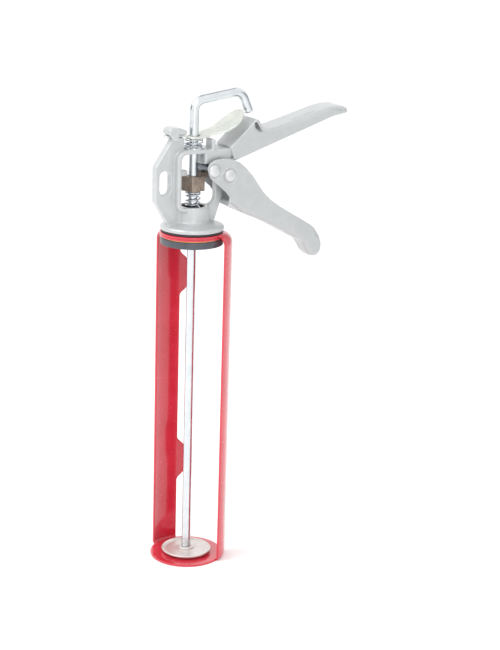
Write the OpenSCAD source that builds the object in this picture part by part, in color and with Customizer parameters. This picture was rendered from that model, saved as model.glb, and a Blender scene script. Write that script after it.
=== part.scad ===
// Caulking gun with a turning cradle, a hooked push rod and a squeeze trigger.
// Millimetres. The rod stands along +Z, its hook at the top, and the handle and trigger point to +X.
// The origin is on the rod's axis, in the underside of the cradle's front plate.

/* [Cartridge and cradle] */
// diameter of the cartridge that the cradle takes
cartridge_d = 50; // [44:0.5:56]
// length from the underside of the front plate to the underside of the rear rings
cradle_length = 231.8; // [190:0.1:330]
// clearance between the cartridge and the rails, on each side
cartridge_gap = 1; // [0.3:0.1:3]
// thickness of the cradle's sheet
sheet = 1.5; // [1:0.1:2.5]
// angle from the open side to the far edge of each rail, about the rod
rail_open_edge = 87.2; // [70:0.1:88]
// angle from the closed side to the near edge of each rail
rail_back_edge = 48.5; // [42:0.1:60]
// how far each tab reaches past the rail's back edge, about the rod
tab_reach = 10.5; // [4:0.5:16]
// height of each tab along the rail
tab_height = 22; // [12:1:34]
// how far the cradle is turned about the rod
cradle_turn = 31.8; // [0:0.1:90]
// diameter of the nozzle hole
nozzle_hole_d = 28; // [20:1:32]

/* [Rod] */
// diameter of the push rod
rod_d = 6.4; // [5:0.1:9]
// running clearance round the rod, on the radius
rod_fit = 0.06; // [0.02:0.01:0.1]
// diameter of the push disc
disc_d = 35; // [28:0.5:42]
// height of the rod's hook above the lever
hook_rise = 24.5; // [20:0.5:45]
// length of the bar of the hook, between the axes of its two legs
hook_reach = 35; // [28:0.5:50]

/* [Body] */
// diameter of the flange over the cradle's rear rings
flange_d = 43.4; // [38:0.1:52]
// diameter of the hub that holds the return spring
hub_d = 22.2; // [18:0.1:26]
// reach of the back wing from the rod's axis
wing_reach = 28.8; // [24:0.1:36]
// thickness of the back wing
wing_t = 6; // [4:0.5:8]
// thickness of the upright beside the window
upright_t = 4.8; // [3:0.2:8]
// depth of the rib round the window, across the body
rib_depth = 16.8; // [12:0.2:22]
// height of the window that holds the drive block
window_h = 35.8; // [32:0.1:42]

/* [Handle and trigger] */
// outside width of the handle's channel
handle_w = 22; // [18:0.2:28]
// length from the rod's axis to the tip of the handle
handle_reach = 113; // [95:1:140]
// slope of the handle's lower edge
handle_slope = 19.2; // [14:0.1:24]
// outside width of the trigger's channel
trigger_w = 25.6; // [22:0.2:32]
// thickness of the pressed steel of the handle and the trigger
steel = 1.5; // [1:0.1:2]
// diameter of the pivot rivet
rivet_d = 5; // [4:0.1:7]

/* [Hidden] */

$fn = 64;
TINY = 0.01;
run_gap = 0.05;                         // running gap between flat faces that turn on each other

// ---- cradle ----
rail_in = cartridge_d / 2 + cartridge_gap;
rail_out = rail_in + sheet;
front_r = rail_in - 0.7;
foot_bend = 3;                          // outer bend radius at the foot of a rail
top_bend = 7;                           // outer bend radius at the top of a rail
ring_r = rail_in - 4;
neck_r = 12;                            // radius of the body's neck that the rings turn on
ring_hole_r = neck_r + 0.08;
ring_low = cradle_length;               // underside of the lower ring
ring_top = ring_low + 2 * sheet;
tab_zs = [0.267 * cradle_length, 0.859 * cradle_length];
tab_corner = 2;
tab_root = 2.6;                         // how far each tab widens where it leaves the rail
rail_span = 180 - rail_open_edge - rail_back_edge;
foot_in = front_r - 1.2;                // radius where the front plate meets a rail's foot
ring_in = ring_r - 3;                   // radius where a ring meets its rail

// ---- washers and flange ----
friction_t = 1.6;
brass_t = 0.65;
retainer_t = 4.8;
retainer_r = flange_d / 2 - 0.4;
flange_low = ring_top + friction_t + 2 * run_gap;
brass_low = ring_low - run_gap - brass_t;
retainer_low = brass_low - retainer_t;

// ---- body, heights from the underside of the flange ----
hub_top = flange_low + 15.8;
cup_r = hub_d / 2 - 2.9;
cup_depth = 7;
window_top = hub_top + window_h;
window_left = 12.4;
window_right = 15.7;
window_notch = 4.5;                     // right side of the window above the drive sleeve
notch_low = flange_low + 43.9;
rib_t = 2.7;
bar_top = window_top + 2.8;
neck_end = 28.2;
tail_slot_low = bar_top + 7.9;
tail_slot_h = 2.1;
hook_tab_top = tail_slot_low + 7;
rib_half = rib_depth / 2;
stop_left = 9.6;                        // lug on the top bar: its near side, thickness, width and height
stop_t = 2.6;
stop_w = 9.6;
stop_h = 6.5;

// ---- pivot and drive ----
pivot = [21.4, flange_low + 36.8];
drive_arm = 12.3;
drive_angle = 162.6;                    // direction of the drive rivet from the pivot, at rest
drive = pivot + drive_arm * [cos(drive_angle), sin(drive_angle)];
sleeve_r = 2.7;
sleeve_gap = 0.1;
pad_top = drive[1] - sleeve_r - sleeve_gap;
block_top = pad_top - 1.8;
block_h = 10.2;
block_low = block_top - block_h;
block_side = 11.4;
block_turn = 16;                        // the block stands turned a little on the rod

// ---- springs ----
return_r = 4.8;
return_wire = 1;
return_turns = 6;
return_low = hub_top - cup_depth + 1;
release_r = 6;
seat_low = bar_top + 2 * TINY;          // ring under the release spring
seat_t = 0.7;
release_wire = 0.75;
release_turns = 3.25;

// ---- release lever ----
lever_t = 1.6;
lever_low = bar_top + 6.7;              // underside of the lever at the rod
blade_slope = 13.4;

// ---- rod ----
rod_r = rod_d / 2;
rod_hole_r = rod_r + rod_fit;
bend_r = rod_r - 0.02;                  // the bar draws down a little where it is bent
bend_lap = 0.3;
disc_low = sheet + 0.35;
disc_t = 1.5;
dish = 0.8;                             // how far the middle of the push disc is raised
dish_r = 6.4;
hook_bend = 7.5;                        // bend radius of the rod's axis
hook_bar_slope = 9;
hook_leg_slope = 67;                    // how steeply the end leg runs down
hook_leg_length = 15.6;                 // from the corner of its axis with the bar's to its end
hook_corner_z = lever_low + hook_rise;  // where the axes of the rod and the bar would cross

// ---- handle and trigger ----
trigger_half = trigger_w / 2;
hump = [41.5, flange_low + 73.3];
handle_foot = [25.4, flange_low + 46.1];
web_shift = steel * 1.12 * [0.45, -0.89];   // from the web's outer face to its inner face
arm_start = 21;                         // the neck's wide end fills the handle's channel between these two
arm_end = 40;
trigger_inner = trigger_half - steel;
head_h = 1.7;
head_r = 4.1;
drive_rivet_r = rivet_d / 2 - 0.5;

// plate lying in the XZ plane, centred on the rod
module upright_plate(t) {
  rotate([90, 0, 0]) linear_extrude(height = t, center = true) children();
}

// bar along Y through the point p of the XZ plane
module cross_bar(p, r, length) {
  translate([p[0], 0, p[1]]) rotate([90, 0, 0]) cylinder(r = r, h = length, center = true);
}

module disc_at(p, r) {
  translate(p) circle(r = r);
}

// tube with round wire, wound about Z from z0 to z1; its end turns lie close together
function coil_height(t, turns, z0, z1, wire) =
  let (close = 1, rise = (z1 - z0 - 2 * wire * close - wire) / (turns - 2 * close))
  z0 + wire / 2 + (t < close ? wire * t
    : t > turns - close ? z1 - z0 - wire - wire * (turns - t)
    : wire * close + rise * (t - close));

module coil(r, wire, turns, z0, z1) {
  steps = turns * 20;
  sides = 8;
  points = [for (i = [0:steps], k = [0:sides - 1])
    let (t = i / 20, a = 360 * t, b = 360 * k / sides, ring = r + wire / 2 * cos(b))
    [ring * cos(a), ring * sin(a), coil_height(t, turns, z0, z1, wire) + wire / 2 * sin(b)]];
  walls = [for (i = [0:steps - 1], k = [0:sides - 1])
    let (a = i * sides + k, b = i * sides + (k + 1) % sides)
    each [[a, b, b + sides], [a, b + sides, a + sides]]];
  start = [[for (k = [0:sides - 1]) sides - 1 - k]];
  finish = [[for (k = [0:sides - 1]) steps * sides + k]];
  outward = [for (f = concat(walls, start, finish)) [for (n = [len(f) - 1:-1:0]) f[n]]];
  polyhedron(points = points, faces = outward);
}

// ---- cradle parts ----
module cradle_front() {
  color([0.8, 0.08, 0.12])
  difference() {
    cylinder(r = front_r, h = sheet);
    translate([0, 0, -1]) cylinder(d = nozzle_hole_d, h = sheet + 2);
    for (side = [1, -1]) rail_sector(side) translate([foot_in, -1]) square([5, sheet + 2]);
  }
}

// turns a section about the rod over the angles that one rail takes, and a little past its back edge
module rail_sector(side, extra = 0) {
  start = side > 0 ? rail_back_edge - extra : rail_open_edge - 180;
  rotate([0, 0, cradle_turn + start]) rotate_extrude(angle = rail_span + extra) children();
}

// section of a rail: foot, wall, bend and the edge of its ring
module rail_section(ring_z) {
      translate([foot_in, 0]) square([rail_out - foot_bend - foot_in, sheet]);
      translate([rail_out - foot_bend, foot_bend]) difference() {
        circle(r = foot_bend);
        circle(r = foot_bend - sheet);
        translate([-foot_bend * 2, -foot_bend]) square([foot_bend * 2, foot_bend * 3]);
        translate([-foot_bend, 0]) square(foot_bend * 2);
      }
      translate([rail_in, foot_bend]) square([sheet, ring_z + sheet - top_bend - foot_bend]);
      translate([rail_out - top_bend, ring_z + sheet - top_bend]) difference() {
        circle(r = top_bend);
        circle(r = top_bend - sheet);
        translate([-top_bend * 2, -top_bend]) square([top_bend * 2, top_bend * 3]);
        translate([-top_bend, -top_bend * 2]) square(top_bend * 2);
      }
      translate([ring_in, ring_z]) square([rail_out - top_bend - ring_in, sheet]);
}

// rail with its two tabs and the ring at its top
module rail(side, ring_z) {
  color([0.8, 0.08, 0.12]) {
    difference() {
      rail_sector(side, tab_reach + 2) rail_section(ring_z);
      back_cut(side);
    }
    difference() {
      translate([0, 0, ring_z]) cylinder(r = ring_r, h = sheet);
      translate([0, 0, ring_z - 1]) cylinder(r = ring_hole_r, h = sheet + 2);
      rail_sector(side) translate([ring_in, ring_z - 1]) square([10, sheet + 2]);
      if (ring_z == ring_low) rail_sector(-side)
        translate([rail_out - top_bend, ring_z - 1]) square([10, sheet + 2]);
    }
  }
}

// what is cut from behind a rail's back edge, leaving its tabs
module back_cut(side) {
  reach = rail_out * sin(tab_reach);
  rotate([0, 0, cradle_turn + side * rail_back_edge]) rotate([90, 0, 90])
    translate([0, 0, rail_in / 2]) linear_extrude(height = rail_in)
      mirror([side > 0 ? 1 : 0, 0]) difference() {
        translate([0, -1]) square([reach + 4, cradle_length + top_bend]);
        for (z = tab_zs) translate([0, z]) tab_outline(reach);
      }
}

// stiffening tab on the back edge of a rail, wider at its root
module tab_outline(reach) {
  half = tab_height / 2;
  hull() for (v = [-1, 1]) translate([reach - tab_corner, v * (half - tab_corner)]) circle(r = tab_corner);
  polygon([[-1, -half - tab_root - 1], [tab_root, -half], [reach - tab_corner, -half],
    [reach - tab_corner, half], [tab_root, half], [-1, half + tab_root + 1]]);
}

module rail_left() rail(1, ring_low);
module rail_right() rail(-1, ring_low + sheet);

// ---- stack under the flange ----
module washer(r_in, r_out, z, t) {
  translate([0, 0, z]) difference() {
    cylinder(r = r_out, h = t);
    translate([0, 0, -1]) cylinder(r = r_in, h = t + 2);
  }
}

module retaining_disc() {
  color([0.22, 0.23, 0.27])
  rotate_extrude() polygon([
    [rod_hole_r + 0.6, retainer_low], [retainer_r - 0.8, retainer_low], [retainer_r, retainer_low + 0.8],
    [retainer_r, brass_low - 0.4], [retainer_r - 0.4, brass_low], [rod_hole_r + 0.6, brass_low]]);
}

module brass_washer() color([0.75, 0.6, 0.25]) washer(neck_r, ring_r - 1.3, brass_low, brass_t);
module friction_washer() color([0.05, 0.05, 0.06])
  washer(neck_r, flange_d / 2 - 0.6, ring_top + run_gap, friction_t);

// ---- body ----
module window_lower() {
  r = 6.5;
  hull() {
    disc_at([window_right - r, hub_top + r], r);
    translate([window_right - 1, notch_low - 1]) square(1);
    translate([-window_left, notch_low - 1]) square(1);
    disc_at([-window_left + 3, hub_top + 3], 3);
  }
}

module window_upper() {
  hull() {
    disc_at([-window_left + 5, window_top - 5], 5);
    disc_at([window_notch - 1.5, window_top - 1.5], 1.5);
    translate([-window_left, notch_low - 2]) square([window_left + window_notch, 1]);
  }
}

module wing_outline() {
  low = flange_low;
  offset(r = 1.2) offset(delta = -1.2) polygon([
    [-16.4, tail_slot_low], [-wing_reach, low + 43.2], [-wing_reach, low + 19.9],
    [-17.6, low + 1.2], [0, low + 1.2], [0, bar_top], [-8.3, bar_top], [-8.3, tail_slot_low]]);
}

module upright_outline() {
  low = flange_low;
  polygon([[-0.1, low + 1.2], [13.4, low + 1.2], [15.2, low + 4.6], [20.4, low + 19.6],
    [20.6, pivot[1] - 6], [20.6, bar_top - 1], [-0.1, bar_top - 1]]);
  disc_at(pivot, 7.4);
  hull() {
    disc_at(pivot + [0.5, 3.5], 6);
    disc_at([26, bar_top - 6.5], 4);
    translate([window_notch, notch_low]) square([8, window_top - notch_low]);
  }
}

module window_all() {
  window_lower();
  window_upper();
}

// rib round the window's back and top, the top bar, and the neck that runs into the handle's channel
module rib_outline() {
  intersection() {
    offset(delta = rib_t) window_all();
    union() {
      translate([-30, flange_low]) square([23, 80]);
      translate([-30, window_top]) square([43, 10]);
    }
  }
  offset(r = 1.2) offset(delta = -1.2) polygon([
    [2, window_top], [window_notch, window_top], [window_notch, notch_low + 0.5], [20, notch_low + 1],
    [neck_end, bar_top - 5.4], [neck_end, bar_top - 2], [neck_end - 2.4, bar_top], [2, bar_top]]);
}

// end of the neck, which fills the handle's channel up to the web
module arm_outline() {
  intersection() {
    offset(delta = -TINY) translate(web_shift) handle_outline();
    polygon([[arm_start, bar_top - 6], [arm_start, bar_top + 20], [arm_end, bar_top + 20],
      [arm_end, bar_top + 2.2], [arm_start + 8.5, bar_top - 4.8]]);
  }
}

// plate across the rod, of a shape that the window goes through
module windowed_plate(t) {
  upright_plate(t) offset(delta = TINY) difference() {
    children();
    window_all();
  }
}

module flange_and_hub() {
  rotate_extrude() polygon([
    [0, flange_low], [flange_d / 2 - 0.3, flange_low], [flange_d / 2, flange_low + 0.4],
    [flange_d / 2, flange_low + 1.7], [flange_d / 2 - 0.9, flange_low + 2.8],
    [flange_d / 2 - 3.2, flange_low + 3.5], [hub_d / 2 + 2.4, flange_low + 4.4],
    [hub_d / 2 + 0.6, flange_low + 5.3], [hub_d / 2, flange_low + 6.6], [hub_d / 2, hub_top - 0.5],
    [hub_d / 2 - 0.5, hub_top], [0, hub_top]]);
  translate([0, 0, brass_low]) cylinder(r = neck_r - run_gap, h = flange_low - brass_low + 1);
}

// hook over the lever's tail, with a slot through its root
module hook_tab() {
  left = -21;
  low = tail_slot_low + tail_slot_h;
  upright_plate(11) hull() {
    disc_at([left + 2.6, low + 2.2], 2.2);
    disc_at([-17.2, hook_tab_top - 2.6], 2.6);
    disc_at([-12.6, hook_tab_top - 2.4], 2.4);
    disc_at([-8.6, low + 1.3], 1.3);
    translate([-16.6, low]) square([1, 1]);
  }
  for (side = [1, -1]) translate([0, side * 3.95, 0]) upright_plate(2.9)
    polygon([[-20.4, low + 0.8], [-16.6, tail_slot_low - 1.5], [-13.5, tail_slot_low - 1.5],
      [-13.5, low + 0.5]]);
}

module body_frame() {
  color([0.72, 0.73, 0.74])
  difference() {
    union() {
      windowed_plate(wing_t) wing_outline();
      windowed_plate(upright_t) upright_outline();
      windowed_plate(rib_depth) rib_outline();
      windowed_plate(handle_w - 2 * steel) arm_outline();
      lever_stop();
      flange_and_hub();
      hook_tab();
      block_stop();
    }
    slot();
    cross_bar(pivot, rivet_d / 2 - run_gap, upright_t + 1);
    translate([0, 0, hub_top - cup_depth]) cylinder(r = cup_r, h = cup_depth + 0.01);
    translate([0, 0, retainer_low]) cylinder(r = rod_hole_r, h = 80);
  }
}

// small stop inside the window that keeps the drive block level
module block_stop() {
  upright_plate(5) hull() {
    disc_at([-7.2, block_top + 2.3], 2);
    translate([-window_left - 1, block_top + 0.25]) square([1, 4.2]);
  }
}

// slot in the wing
module slot() {
  upright_plate(wing_t + 2) hull() {
    disc_at([-21.9, flange_low + 36.6], 3.95);
    disc_at([-21.9, flange_low + 28.2], 3.95);
  }
}

// upright lug on the near half of the top bar, beside the release spring
module lever_stop() {
  translate([stop_left, -rib_half, bar_top - 0.5]) cube([stop_t, stop_w, stop_h + 0.5]);
}

module spring_cup() {
  color([0.06, 0.06, 0.07])
  translate([0, 0, hub_top - cup_depth]) difference() {
    cylinder(r = cup_r - 0.02, h = cup_depth - 0.6);
    translate([0, 0, 1]) cylinder(r = cup_r - 1, h = cup_depth);
    translate([0, 0, -1]) cylinder(r = rod_hole_r + 0.4, h = 4);
  }
}

module return_spring()
  color([0.6, 0.62, 0.66]) coil(return_r, return_wire, return_turns, return_low, block_low);

module drive_block() {
  half = block_side / 2;
  color([0.45, 0.33, 0.24])
  rotate([0, 0, block_turn]) difference() {
    union() {
      translate([-half, -half, block_low]) cube([block_side, block_side, block_h]);
      translate([half - 1.5, -3, pad_top - 4.2]) cube([7.4, 6, 4.2]);
    }
    translate([0, 0, block_low - 1]) cylinder(r = rod_hole_r, h = block_h + 8);
    translate([2.4, -half - 0.01, block_low]) rotate([-90, 0, 0]) cylinder(r = 1.3, h = 1.6);
  }
}

module spring_seat() color([0.2, 0.2, 0.22]) washer(rod_hole_r + 0.3, release_r + 1.1, seat_low, seat_t);

module release_spring()
  color([0.6, 0.62, 0.66]) coil(release_r, release_wire, release_turns, seat_low + seat_t, lever_low - 0.1);

// ---- release lever ----
// side view of the lever: tail in the slot, a dip at the rod, then the rising blade
module lever_side() {
  tail_z = tail_slot_low + 0.1;
  tail_top = tail_slot_low + lever_t;
  run = 22;
  high = lever_low + run * tan(blade_slope);
  polygon([[-21.6, tail_z + 0.1], [-15, tail_z], [-8, tail_z + 0.35], [-4.2, lever_low], [2, lever_low],
    [run, high], [29.6, high + 4.4], [35.6, high + 10.2], [34.6, high + 11.6], [28.4, high + 6.2],
    [run - 0.6, high + lever_t + 0.2], [1.8, lever_low + lever_t], [-3.6, lever_low + lever_t],
    [-7.4, tail_top + 0.25], [-21.6, tail_top]]);
}

// plan of the lever: narrow tail, collar round the rod, neck and broad thumb pad
module lever_plan() {
  translate([-22, -2.3]) square([16, 4.6]);
  hull() {
    disc_at([-1.4, 0], 5.6);
    disc_at([2.2, 0], 6.4);
    translate([9, -6.2]) square([1, 12.4]);
    disc_at([21, 0], 9.6);
    for (y = [-1, 1]) disc_at([26.4, y * 2.4], 8.4);
  }
  hull() {
    for (y = [-1, 1]) disc_at([26.4, y * 2.4], 8.4);
    disc_at([29.4, 0], 8);
  }
}

module release_lever() {
  color([0.8, 0.8, 0.74])
  difference() {
    intersection() {
      upright_plate(24) lever_side();
      translate([0, 0, lever_low - 20]) linear_extrude(height = 60) lever_plan();
    }
    hull() for (x = [-0.5, 0.5]) translate([x, 0, lever_low - 5]) cylinder(r = rod_r + 0.4, h = 20);
  }
}

// ---- push rod ----
function turn_point(a, r) = [r * sin(a), r - r * cos(a)];

// stretch of round bar in the XZ plane from p, running at an angle above +X, into the bends at its ends
module rod_leg(p, angle, length) {
  translate([p[0], 0, p[1]]) rotate([0, 90 - angle, 0]) translate([0, 0, -bend_lap])
    cylinder(r = rod_r, h = length + 2 * bend_lap);
}

// bend in the XZ plane that starts at p heading at the angle given and turns clockwise
module rod_bend(p, angle, sweep) {
  center = p + hook_bend * [sin(angle), -cos(angle)];
  translate([center[0], 0, center[1]]) rotate([90, 0, 0])
    rotate([0, 0, angle + 90 - sweep]) rotate_extrude(angle = sweep)
      translate([hook_bend, 0]) circle(r = bend_r);
}

module push_rod() {
  sweep_1 = 90 - hook_bar_slope;
  sweep_2 = hook_bar_slope + hook_leg_slope;
  back_1 = hook_bend * tan(sweep_1 / 2);
  back_2 = hook_bend * tan(sweep_2 / 2);
  bar_dir = [cos(hook_bar_slope), sin(hook_bar_slope)];
  corner_1 = [0, hook_corner_z];
  bar_length = hook_reach / cos(hook_bar_slope);
  corner_2 = corner_1 + bar_length * bar_dir;
  leg_dir = [cos(hook_leg_slope), -sin(hook_leg_slope)];
  rod_low = disc_low + dish;
  color([0.66, 0.7, 0.75]) {
    translate([0, 0, rod_low]) cylinder(r = rod_r, h = hook_corner_z - back_1 - rod_low + bend_lap);
    rod_bend(corner_1 - [0, back_1], 90, sweep_1);
    rod_leg(corner_1 + back_1 * bar_dir, hook_bar_slope, bar_length - back_1 - back_2);
    rod_bend(corner_2 - back_2 * bar_dir, hook_bar_slope, sweep_2);
    rod_leg(corner_2 + back_2 * leg_dir, -hook_leg_slope, hook_leg_length - back_2);
  }
}

module push_disc() {
  r = disc_d / 2;
  color([0.82, 0.78, 0.7])
  rotate_extrude() polygon([
    [rod_r, disc_low + dish], [dish_r, disc_low + dish], [dish_r + 1.5, disc_low],
    [r - 2.4, disc_low], [r - 0.7, disc_low + 0.9], [r, disc_low + 2.2],
    [r - 0.4, disc_low + 2.6], [r - 1.5, disc_low + 2.1], [r - 2.8, disc_low + disc_t],
    [dish_r + 1.5, disc_low + disc_t], [dish_r, disc_low + dish + disc_t],
    [rod_r, disc_low + dish + disc_t]]);
}

module disc_boss() color([0.7, 0.72, 0.74]) washer(rod_r, rod_r + 2.4, disc_low + dish + disc_t, 1.4);

module disc_rivet() {
  rivet_low = sheet + run_gap;          // the head stays clear above the front plate's hole
  color([0.66, 0.7, 0.75]) rotate_extrude() polygon([
    [0, rivet_low], [4, rivet_low], [5.2, rivet_low + 0.5], [5.2, disc_low + dish], [0, disc_low + dish]]);
}

// ---- handle ----
module handle_outline() {
  tip = handle_reach;
  slope = tan(handle_slope);
  low = handle_foot[1];
  grip_start = 59.3;
  offset(r = 0.8) offset(delta = -0.8)
  polygon([
    [22.1, low + 9.8], hump, [hump[0] + 2.1, hump[1] - 1.1], [47.3, hump[1] - 8.5],
    [grip_start, hump[1] - 5.9], [tip - 27.3, hump[1] + 1.7], [tip - 18.3, hump[1] + 4.5],
    [tip - 11, hump[1] + 5.7], [tip - 3.8, hump[1] + 5.8], [tip - 0.4, hump[1] + 4],
    [tip, hump[1] + 2.4], [tip - 1.2, hump[1] + 1.4],
    [tip - 11, low + (tip - 11 - handle_foot[0]) * slope], handle_foot]);
}

// channel: two side plates and the web between them
module channel(width) {
  for (side = [-1, 1]) translate([0, side * (width - steel) / 2, 0]) upright_plate(steel) children(0);
  upright_plate(width - 2 * steel) offset(delta = -TINY) children(1);
}

module handle_web() {
  difference() {
    handle_outline();
    difference() {
      translate(web_shift) handle_outline();
      translate([handle_reach - 2, handle_foot[1]]) square([10, 60]);
    }
    translate([20, handle_foot[1] - 3]) square([6.5, 10]);
    translate(web_shift + hump + [-0.5, -11]) square([7, 10]);
  }
}

module fixed_handle() color([0.72, 0.73, 0.74]) channel(handle_w) {
  handle_outline();
  handle_web();
}

// ---- trigger ----
module trigger_outline() {
  p = pivot;
  offset(r = -7) offset(delta = 7) {
    hull() {
      disc_at(drive, 5.1);
      disc_at(p, 11.4);
      disc_at(p + [3.9, -14.4], 2.6);
    }
    hull() {
      disc_at(p, 11.4);
      disc_at(p + [3.9, -14.4], 2.6);
      disc_at(p + [20.6, -18.4], 9.6);
    }
    hull() {
      disc_at(p + [20.6, -18.4], 9.6);
      disc_at(p + [40.4, -31.4], 6.9);
    }
    hull() {
      disc_at(p + [40.4, -31.4], 6.9);
      disc_at(p + [58, -41.2], 7);
    }
    hull() {
      disc_at(p + [58, -41.2], 7);
      disc_at(p + [67.1, -54.2], 6.4);
    }
  }
}

module trigger_web() {
  difference() {
    trigger_outline();
    translate(steel * 1.1 * [0.5, 0.87]) trigger_outline();
    translate(pivot - [25, 20]) square([26.5, 36]);
    translate(pivot - [-1, 10]) square([14, 24]);
  }
}

module trigger() {
  color([0.72, 0.73, 0.74])
  difference() {
    channel(trigger_w) {
      trigger_outline();
      trigger_web();
    }
    cross_bar(pivot, rivet_d / 2, trigger_w + 1);
    cross_bar(drive, drive_rivet_r, trigger_w + 1);
  }
}

// rivet along Y with a domed head at each side
module rivet(p, r, width) {
  cross_bar(p, r, width);
  for (side = [0, 180]) translate([p[0], 0, p[1]]) rotate([90, 0, side])
    translate([0, 0, width / 2]) intersection() {
      cylinder(r = head_r, h = head_h);
      translate([0, 0, head_h - 6]) sphere(r = 6);
    }
}

module pivot_rivet() color([0.78, 0.79, 0.8]) rivet(pivot, rivet_d / 2 - run_gap, trigger_w + 2 * run_gap);
module drive_rivet() color([0.78, 0.79, 0.8]) rivet(drive, drive_rivet_r, trigger_w);

module pivot_bushes() {
  inner = upright_t / 2;
  length = trigger_inner - inner - run_gap;
  color([0.3, 0.31, 0.33])
  for (side = [-1, 1]) translate([pivot[0], side * (inner + length / 2), pivot[1]]) rotate([90, 0, 0])
    difference() {
      cylinder(r = 4.4, h = length, center = true);
      cylinder(r = rivet_d / 2 - run_gap, h = length + 2, center = true);
    }
}

module drive_sleeve() {
  color([0.4, 0.44, 0.5])
  difference() {
    cross_bar(drive, sleeve_r, 2 * trigger_inner);
    cross_bar(drive, drive_rivet_r, trigger_w);
  }
}

cradle_front();
rail_left();
rail_right();
retaining_disc();
brass_washer();
friction_washer();
body_frame();
spring_cup();
return_spring();
drive_block();
spring_seat();
release_spring();
release_lever();
push_rod();
push_disc();
disc_boss();
disc_rivet();
fixed_handle();
trigger();
pivot_rivet();
pivot_bushes();
drive_rivet();
drive_sleeve();
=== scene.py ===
"""Looks of a caulking gun: an enamelled cradle, a cast body, pressed handles and a plated rod, on a pale
floor.

Lengths are worked out in millimetres and written to the meshes in metres. X runs towards the handles, Z
up the rod.
"""

import math

import bpy
import numpy as np
from mathutils import Matrix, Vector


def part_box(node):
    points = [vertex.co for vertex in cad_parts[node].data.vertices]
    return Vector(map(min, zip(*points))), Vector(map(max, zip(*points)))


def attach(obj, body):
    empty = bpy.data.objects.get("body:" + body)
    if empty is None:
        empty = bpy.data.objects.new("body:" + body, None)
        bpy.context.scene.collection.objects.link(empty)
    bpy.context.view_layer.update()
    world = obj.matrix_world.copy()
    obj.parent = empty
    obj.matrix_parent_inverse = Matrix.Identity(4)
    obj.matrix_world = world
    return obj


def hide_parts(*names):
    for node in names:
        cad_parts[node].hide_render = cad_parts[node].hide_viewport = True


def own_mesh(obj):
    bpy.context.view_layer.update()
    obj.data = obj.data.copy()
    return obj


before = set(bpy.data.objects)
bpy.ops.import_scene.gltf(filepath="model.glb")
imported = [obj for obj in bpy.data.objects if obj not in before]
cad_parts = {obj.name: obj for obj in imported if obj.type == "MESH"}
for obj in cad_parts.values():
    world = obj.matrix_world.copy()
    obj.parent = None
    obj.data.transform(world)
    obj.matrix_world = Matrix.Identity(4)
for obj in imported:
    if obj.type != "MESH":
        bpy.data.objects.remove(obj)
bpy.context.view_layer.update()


# ---- places taken from the frame ----
def span(node):
    """Lowest and highest corner of a frame node, in millimetres."""
    low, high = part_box(node)
    return np.array(low) * 1000, np.array(high) * 1000


def middle(node):
    """Centre of a frame node's box in the XZ plane, in millimetres."""
    low, high = span(node)
    return (low[[0, 2]] + high[[0, 2]]) / 2


SHEET = span("cradle_front")[1][2]
RING_TOP = span("rail_right")[1][2]
RING_LOW = RING_TOP - 2 * SHEET
FLANGE = span("friction_washer")[1][2] + 0.05
HUB_TOP = FLANGE + 15.8
WINDOW_TOP = HUB_TOP + 35.8
BAR_TOP = span("spring_seat")[0][2]
NOTCH = FLANGE + 43.9
TAIL_SLOT = BAR_TOP + 7.9
TAB_TOP = TAIL_SLOT + 7
PIVOT = middle("pivot_rivet")
DRIVE = middle("drive_rivet")
LEVER_LOW = BAR_TOP + 6.7
BLOCK_TOP = span("drive_block")[1][2]
HUMP = np.array([41.5, FLANGE + 73.3])
STEEL = 1.5
RAIL_OUT = 27.5
RING_BORE = 12.0
ROD_BORE, ROD_HOLE = 3.22, 3.26
RIB_HALF, HANDLE_HALF, TRIGGER_HALF = 8.4, 11.0, 12.8
RIVET_WIDTH = 25.6
CRADLE_TURN = math.radians(31.8)


# ---- outlines ----
def rounded(corners, radius, steps=6):
    """Closed outline with its corners rounded: each corner gives way to a parabola that leaves the two
    sides at the distance where an arc of the given radius would, or at 0.45 of the shorter side if that
    is less."""
    p = np.asarray(corners, float)
    back, ahead = np.roll(p, 1, 0) - p, np.roll(p, -1, 0) - p
    far_back, far_ahead = np.linalg.norm(back, axis=1), np.linalg.norm(ahead, axis=1)
    u, v = back / far_back[:, None], ahead / far_ahead[:, None]
    half = np.arccos(np.clip((u * v).sum(1), -0.9999, 0.9999)) / 2
    cut = np.minimum(np.asarray(radius) / np.tan(half), 0.45 * np.minimum(far_back, far_ahead))[:, None,
                                                                                                None]
    t = np.linspace(0, 1, steps)[None, :, None]
    a, b = p[:, None] + u[:, None] * cut, p[:, None] + v[:, None] * cut
    return ((1 - t) ** 2 * a + 2 * t * (1 - t) * p[:, None] + t ** 2 * b).reshape(-1, 2)


def bent(corners, radius, steps=8):
    """Open line with its inner corners rounded in the same way."""
    p = np.asarray(corners, float)
    soft = rounded(p, radius, steps).reshape(len(p), steps, 2)[1:-1].reshape(-1, 2)
    return np.vstack([p[:1], soft, p[-1:]])


def past(line, x, z):
    """Signed distance from a closed outline: the distance to the nearest of its sides, negative inside,
    where a ray to the right crosses an odd number of sides."""
    near, odd = np.inf, False
    for (ax, az), (bx, bz) in zip(line, np.roll(line, -1, 0)):
        ex, ez = bx - ax, bz - az
        t = np.clip(((x - ax) * ex + (z - az) * ez) / max(ex * ex + ez * ez, 1e-12), 0, 1)
        near = np.minimum(near, (x - ax - ex * t) ** 2 + (z - az - ez * t) ** 2)
        if ez:
            odd = odd ^ (((az > z) != (bz > z)) & (x < ex * (z - az) / ez + ax))
    return np.where(odd, -1.0, 1.0) * np.sqrt(near)


# ---- solid shapes as distances ----
def both(a, b, edge):
    """Distance from the space common to two shapes, its edge rounded to a quarter circle."""
    u, v = a + edge, b + edge
    return np.minimum(np.maximum(u, v), 0) + np.hypot(np.maximum(u, 0), np.maximum(v, 0)) - edge


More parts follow.
